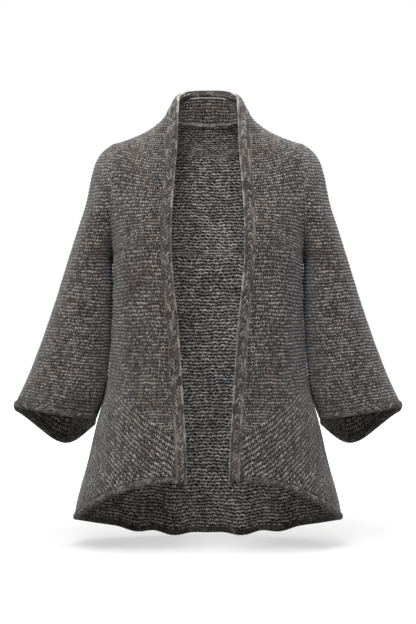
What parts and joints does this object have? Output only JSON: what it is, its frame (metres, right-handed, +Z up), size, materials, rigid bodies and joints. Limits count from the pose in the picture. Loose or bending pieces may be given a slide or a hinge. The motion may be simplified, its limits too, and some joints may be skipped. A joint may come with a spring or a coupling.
{
  "type": "cape sweater",
  "caption": "Open-fronted cape cardigan in chunky marled knit, filled out as if worn and hollow, with a stand collar, a rounded front band, wide bell sleeves and a long curved hem.",
  "frame": {"origin": "in the neck, level with the top of the shoulders, where the wearer holds the garment up", "axes": "+Z up, the front of the garment faces -Y, +X is the wearer's left"},
  "size_m": [0.7124, 0.3189, 0.8491],
  "materials": {
    "knit": "chunky marled wool knit",
    "edging": "braided wool edging of the same yarn"
  },
  "bodies": {
    "root": {"back": "knit", "front_left": "knit", "front_right": "knit", "corner_left": "knit", "corner_right": "knit", "sleeve_left": "knit", "sleeve_right": "knit", "collar": "knit", "front_band": "edging", "hem_band": "edging", "cuff_left": "edging", "cuff_right": "edging"}
  },
  "joints": []
}
